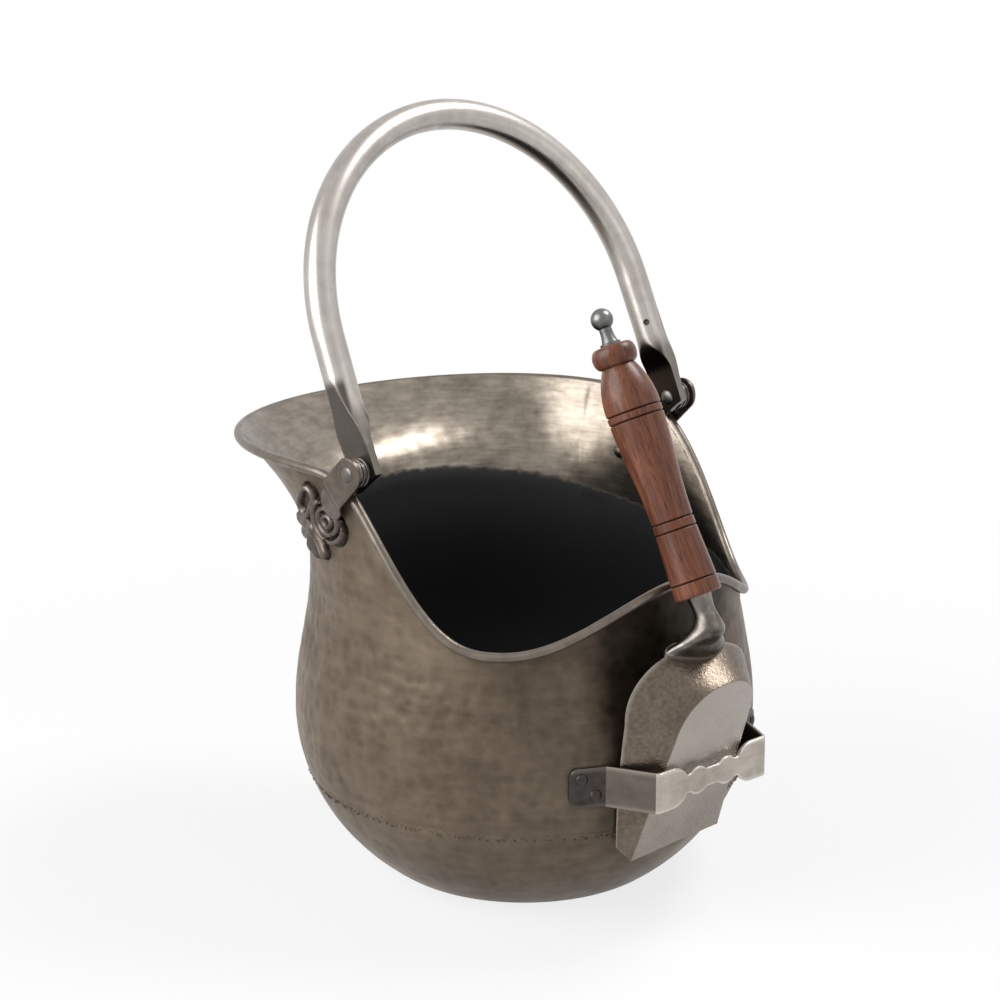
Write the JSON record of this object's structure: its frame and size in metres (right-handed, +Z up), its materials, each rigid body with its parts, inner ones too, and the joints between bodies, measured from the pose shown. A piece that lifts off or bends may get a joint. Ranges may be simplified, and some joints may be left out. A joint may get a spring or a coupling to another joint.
{
  "type": "hearth bucket with hand shovel",
  "caption": "Helmet-shaped hearth bucket for ash or coal with a flared mouth, a swinging tube bail and a hand shovel held in a front strap.",
  "frame": {"origin": "centre of the flat base, on the surface that the bucket stands on", "axes": "+Z up, -Y towards the pouring lip and the shovel, +Y towards the flared back lobe, +X towards the right ear"},
  "size_m": [0.2502, 0.335, 0.4112],
  "materials": {
    "body_metal": "hammered sheet with an antique pewter patina, matte black inside below the neck",
    "wire_steel": "plain drawn steel",
    "cast_metal": "antiqued casting with dark hollows",
    "rivet_steel": "worn steel",
    "bail_steel": "satin tube with soft streaks",
    "strap_steel": "satin strip",
    "pan_metal": "dark grey casting, rubbed satin on its flats",
    "grip_wood": "reddish-brown varnish",
    "finial_metal": "polished turned metal"
  },
  "bodies": {
    "bucket": {"base_pan": "body_metal", "barrel": "body_metal", "collar": "body_metal", "rim_wire": "wire_steel", "ear_left": "cast_metal", "ear_right": "cast_metal", "ear_rivets_left": "rivet_steel", "ear_rivets_right": "rivet_steel", "pivot_rivet_left": "rivet_steel", "pivot_rivet_right": "rivet_steel", "pivot_bush_left": "rivet_steel", "pivot_bush_right": "rivet_steel", "shovel_strap": "strap_steel", "strap_rivets_left": "rivet_steel", "strap_rivets_right": "rivet_steel"},
    "bail": {"bail": "bail_steel"},
    "shovel": {"shovel_pan": "pan_metal", "shovel_socket": "pan_metal", "tang_rod": "wire_steel", "wood_grip": "grip_wood", "finial": "finial_metal"}
  },
  "joints": [
    {"name": "bail_swing", "type": "hinge", "parent": "bucket", "child": "bail", "pos_m": [0, 0, 0.24152], "axis": [1, 0, 0], "range_deg": [-58, 107]},
    {"name": "shovel_lift", "type": "slide", "parent": "bucket", "child": "shovel", "axis": [0, -0.3778, 0.9259], "range_m": [0, 0.06]}
  ]
}
